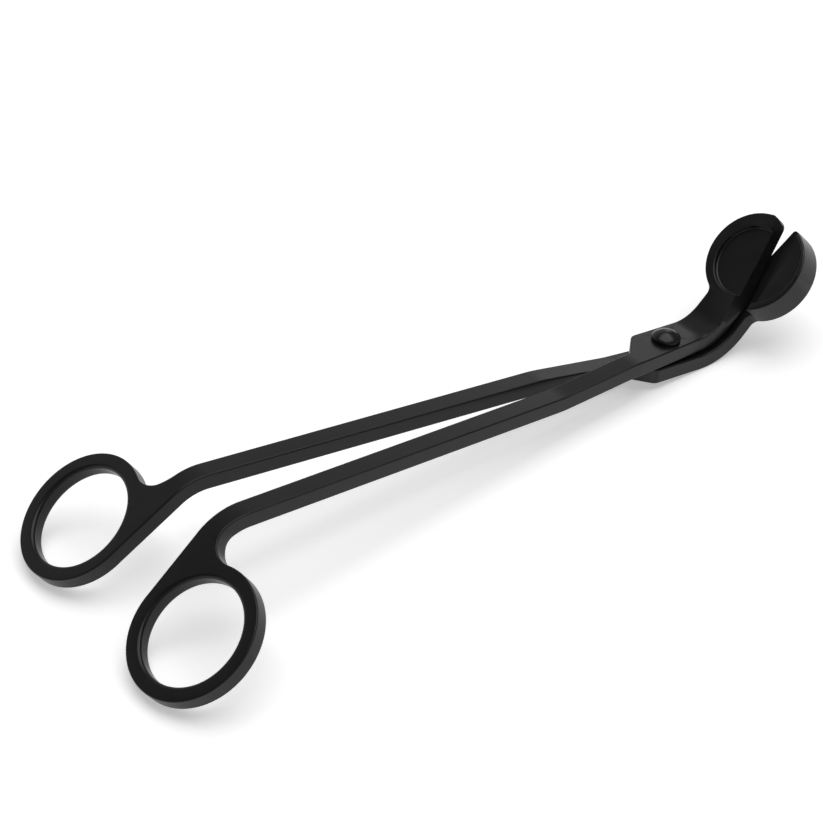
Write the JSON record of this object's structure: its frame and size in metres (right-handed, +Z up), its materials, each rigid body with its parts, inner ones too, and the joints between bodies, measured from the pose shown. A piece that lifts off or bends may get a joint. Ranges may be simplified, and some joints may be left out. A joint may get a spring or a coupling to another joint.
{
  "type": "wick trimmer",
  "caption": "Long scissor-action candle wick trimmer with finger rings, slim cranked arms, a domed pivot rivet and an upturned round cutting head that catches the trimmings.",
  "frame": {"origin": "centre of the footprint, on the surface that the trimmer lies on", "axes": "+X along the trimmer from the finger rings to the cutting head, +Y towards the lower lever's ring, +Z up; the pivot axis leans a little towards +X"},
  "size_m": [0.1812, 0.0706, 0.0257],
  "materials": {
    "lever_coating": "satin black coating on stainless steel, slightly worn on the edges",
    "rivet_finish": "gloss black"
  },
  "bodies": {
    "lower": {"lower_lever": "lever_coating", "pivot_rivet": "rivet_finish"},
    "upper": {"upper_lever": "lever_coating"}
  },
  "joints": [
    {"name": "pivot", "type": "hinge", "parent": "lower", "child": "upper", "pos_m": [0.05292, 0, 0.00456], "axis": [0.1292, 0, 0.9916], "range_deg": [-4.8, 24]}
  ]
}
